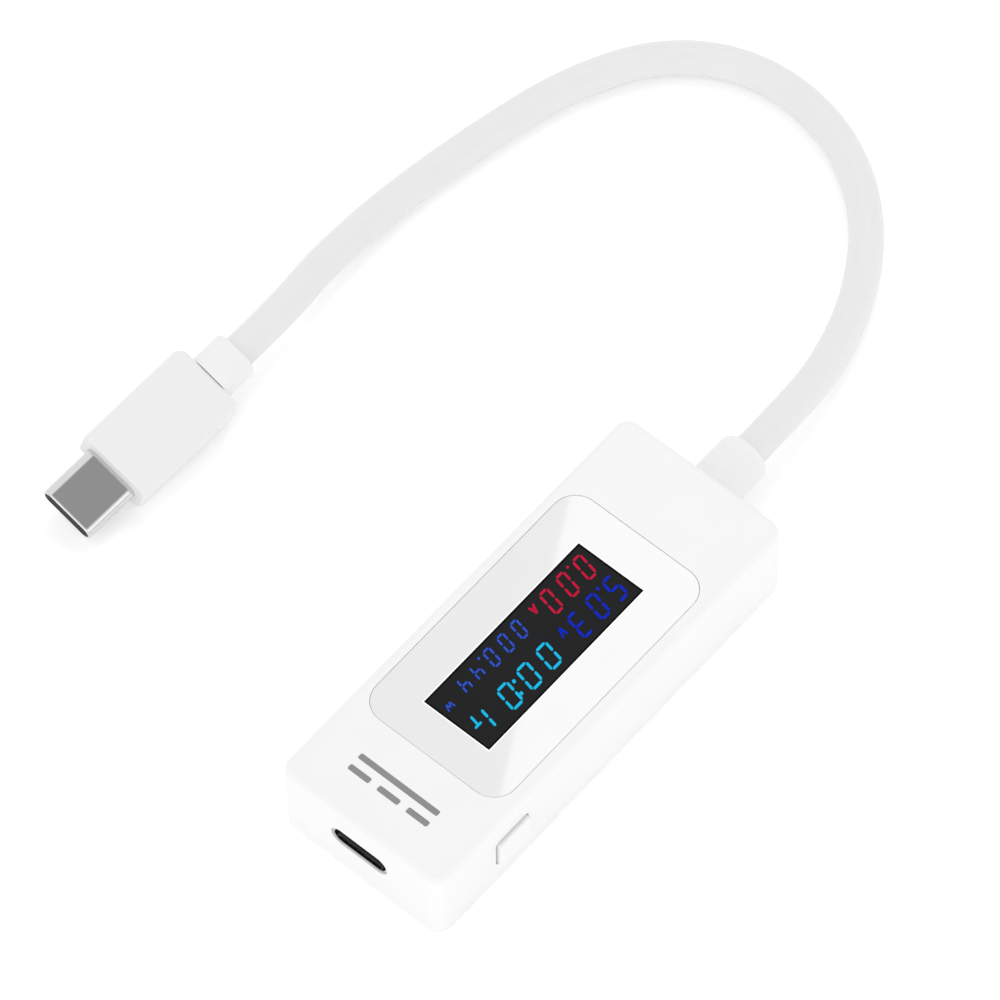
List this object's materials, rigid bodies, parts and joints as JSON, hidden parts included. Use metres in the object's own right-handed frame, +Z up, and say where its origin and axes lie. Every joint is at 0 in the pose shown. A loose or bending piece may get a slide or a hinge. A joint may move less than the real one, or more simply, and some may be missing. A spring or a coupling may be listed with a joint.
{
  "type": "usb power meter",
  "caption": "Inline USB-C power meter: slim white case with a segment display, a side push button, a USB-C socket and a short captive cord with a USB-C plug.",
  "frame": {"origin": "centre of the case on the surface it rests on", "axes": "+Z up through the display, +Y along the case towards the cord, +X towards the push button"},
  "size_m": [0.08, 0.1249, 0.0134],
  "materials": {
    "white_shell": "fine satin moulded white plastic",
    "window_face": "printed white sheet with a glossy clear face",
    "clear_tape": "double-sided tape",
    "display_film": "dark polarising film",
    "display_glass": "clear display glass",
    "clear_plastic": "clear light guide",
    "led_resin": "yellow-white phosphor resin",
    "tray_plastic": "white moulded tray",
    "tinned_metal": "tinned",
    "board_laminate": "green solder mask over glass-fibre laminate",
    "chip_epoxy": "black moulded epoxy",
    "shunt_alloy": "bare resistance alloy",
    "capacitor_ceramic": "tan ceramic",
    "resistor_ceramic": "dark glazed ceramic",
    "nickel_shell": "bright nickel-plated sheet steel",
    "black_insert": "black glass-filled nylon",
    "gold_contacts": "gold-plated",
    "cord_jacket": "smooth white elastomer jacket",
    "relief_rubber": "white moulded elastomer",
    "plug_plastic": "white moulded over-mould, satin",
    "wire_red": "red insulation",
    "wire_black": "black insulation",
    "wire_white": "white insulation",
    "wire_green": "green insulation",
    "wire_blue": "blue insulation"
  },
  "bodies": {
    "housing": {"amplifier_chip": "chip_epoxy", "backlight_leds": "led_resin", "base_plate": "white_shell", "capacitors": "capacitor_ceramic", "chip_leads": "tinned_metal", "controller_chip": "chip_epoxy", "cord": "cord_jacket", "cord_inner_end": "cord_jacket", "cord_relief": "relief_rubber", "crystal": "nickel_shell", "display_front_glass": "display_glass", "display_front_polariser": "display_film", "display_light_guide": "clear_plastic", "display_pins": "tinned_metal", "display_rear_glass": "display_glass", "display_rear_polariser": "display_film", "display_tray": "tray_plastic", "lead_channel": "wire_blue", "lead_data_minus": "wire_white", "lead_data_plus": "wire_green", "lead_ground": "wire_black", "lead_power": "wire_red", "lead_solder": "tinned_metal", "main_board": "board_laminate", "memory_chip": "chip_epoxy", "plug_board": "board_laminate", "plug_contacts": "gold_contacts", "plug_cord_end": "cord_jacket", "plug_cores": "wire_red", "plug_insert": "black_insert", "plug_overmold": "plug_plastic", "plug_relief": "relief_rubber", "plug_shell": "nickel_shell", "plug_shield": "nickel_shell", "port_contacts": "gold_contacts", "port_insulator": "black_insert", "port_leads": "tinned_metal", "port_shell": "nickel_shell", "regulator_chip": "chip_epoxy", "resistors": "resistor_ceramic", "shunt_resistor": "shunt_alloy", "solder_caps": "tinned_metal", "switch_body": "black_insert", "switch_cover": "nickel_shell", "switch_dome": "nickel_shell", "switch_terminals": "tinned_metal", "top_cover": "white_shell", "window_panel": "window_face", "window_tape": "clear_tape"},
    "button": {"button_cap": "white_shell"},
    "plunger": {"switch_plunger": "black_insert"}
  },
  "joints": [
    {"name": "button_press", "type": "slide", "parent": "housing", "child": "button", "axis": [-1, 0, 0], "range_m": [0, 0.0003], "stiffness_N_per_m": 1500},
    {"name": "plunger_press", "type": "slide", "parent": "housing", "child": "plunger", "axis": [-1, 0, 0], "range_m": [0, 0.0003], "deforming": ["switch_dome"]}
  ],
  "couplings": [
    {"joint": "plunger_press", "follows": "button_press", "ratio": 1}
  ]
}
